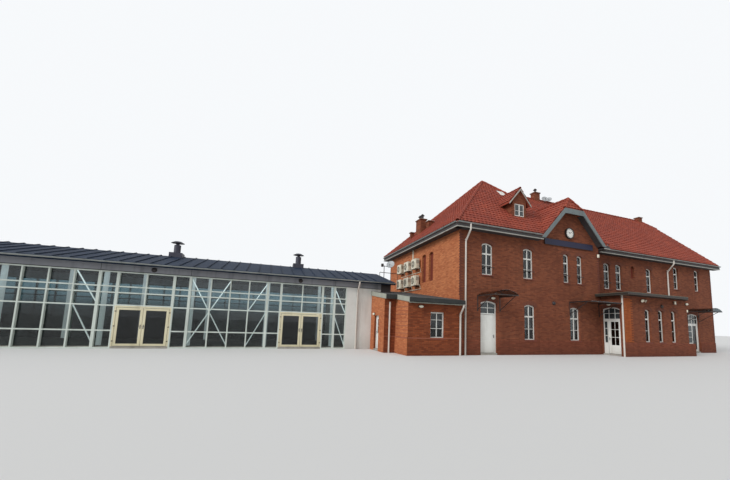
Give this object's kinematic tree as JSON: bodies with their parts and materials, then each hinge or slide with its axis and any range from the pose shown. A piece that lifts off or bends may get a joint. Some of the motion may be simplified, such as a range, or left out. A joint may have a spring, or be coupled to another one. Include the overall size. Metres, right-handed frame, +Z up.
{
  "type": "railway station building, 1:2 scale model",
  "caption": "Brick railway station with a tiled hipped roof, a street gable, a flat-roofed entrance porch, a low annex and a long glazed hall with opening doors; half scale.",
  "frame": {"origin": "on the ground, under the middle of the projecting brick block, which is under the highest point of its roof", "axes": "+X along the street front to the right, +Y into the building away from the street, +Z up"},
  "size_m": [26.115, 6.95, 6.9241],
  "materials": {
    "red_brick": "matte",
    "roof_tile": "matte",
    "concrete": "matte",
    "white_frame": "satin paint",
    "grey_board": "satin paint",
    "window_glass": "clear",
    "dark_metal": "satin",
    "zinc": "satin",
    "hall_steel": "satin",
    "white_steel": "satin",
    "standing_seam": "satin",
    "fascia_panel": "matte",
    "white_render": "matte",
    "appliance_white": "satin",
    "door_paint": "satin paint",
    "hall_door_paint": "satin"
  },
  "bodies": {
    "station": {"ground_floors": "concrete", "upper_floor": "concrete", "attic_floor": "grey_board", "doorsteps": "concrete", "front_wall_lower": "red_brick", "front_wall_upper": "red_brick", "door_arches": "red_brick", "left_wall": "red_brick", "right_wall": "red_brick", "back_wall": "red_brick", "wing_wall_lower": "red_brick", "wing_wall_upper": "red_brick", "return_wall": "red_brick", "porch_walls": "red_brick", "porch_roof": "grey_board", "annex_walls": "red_brick", "annex_roof": "standing_seam", "street_slopes": "roof_tile", "platform_slope": "roof_tile", "end_slopes": "roof_tile", "peak_slope": "roof_tile", "gable_roof": "roof_tile", "bargeboards": "grey_board", "dormer_walls": "grey_board", "dormer_roof": "roof_tile", "roof_windows": "white_frame", "chimneys": "red_brick", "chimney_cowls": "zinc", "gutters": "zinc", "downpipes": "zinc", "window_frames": "white_frame", "window_glass": "window_glass", "door_frames": "white_frame", "door_hinges": "dark_metal", "station_clock": "white_steel", "air_conditioners": "appliance_white", "ac_brackets": "dark_metal", "canopy_arms": "dark_metal", "canopy_rails": "dark_metal", "canopy_glass": "window_glass", "hall_grid": "hall_steel", "hall_glass": "window_glass", "hall_door_frames": "hall_steel", "hall_columns": "white_steel", "hall_braces": "white_steel", "hall_fascia": "fascia_panel", "hall_walls": "white_render", "hall_end_screen": "dark_metal", "hall_roof": "standing_seam", "hall_ventilators": "zinc"},
    "side_door": {"side_door": "door_paint"},
    "entrance_door": {"entrance_door": "white_frame"},
    "right_door": {"right_door": "white_frame"},
    "annex_door": {"annex_door": "door_paint"},
    "hall_door_1": {"hall_door_1": "hall_door_paint"},
    "hall_door_2": {"hall_door_2": "hall_door_paint"},
    "hall_door_3": {"hall_door_3": "hall_door_paint"},
    "hall_door_4": {"hall_door_4": "hall_door_paint"}
  },
  "joints": [
    {"name": "side_door_hinge", "type": "hinge", "parent": "station", "child": "side_door", "pos_m": [-2.036, -2.67, 0.058], "axis": [0, 0, 1], "range_deg": [0, 88]},
    {"name": "entrance_door_hinge", "type": "hinge", "parent": "station", "child": "entrance_door", "pos_m": [2.88, -3.3685, 0.058], "axis": [0, 0, -1], "range_deg": [0, 88]},
    {"name": "right_door_hinge", "type": "hinge", "parent": "station", "child": "right_door", "pos_m": [9.051, -2.27, 0.058], "axis": [0, 0, -1], "range_deg": [0, 88]},
    {"name": "annex_door_hinge", "type": "hinge", "parent": "station", "child": "annex_door", "pos_m": [-4.595, -1.486, 0.058], "axis": [0, 0, -1], "range_deg": [0, 88]},
    {"name": "hall_door_1_hinge", "type": "hinge", "parent": "station", "child": "hall_door_1", "pos_m": [-11.151, -0.78, 0.058], "axis": [0, 0, -1], "range_deg": [0, 88]},
    {"name": "hall_door_2_hinge", "type": "hinge", "parent": "station", "child": "hall_door_2", "pos_m": [-10.054, -0.78, 0.058], "axis": [0, 0, 1], "range_deg": [0, 88]},
    {"name": "hall_door_3_hinge", "type": "hinge", "parent": "station", "child": "hall_door_3", "pos_m": [-7.361, -0.78, 0.058], "axis": [0, 0, -1], "range_deg": [0, 88]},
    {"name": "hall_door_4_hinge", "type": "hinge", "parent": "station", "child": "hall_door_4", "pos_m": [-6.264, -0.78, 0.058], "axis": [0, 0, 1], "range_deg": [0, 88]}
  ]
}
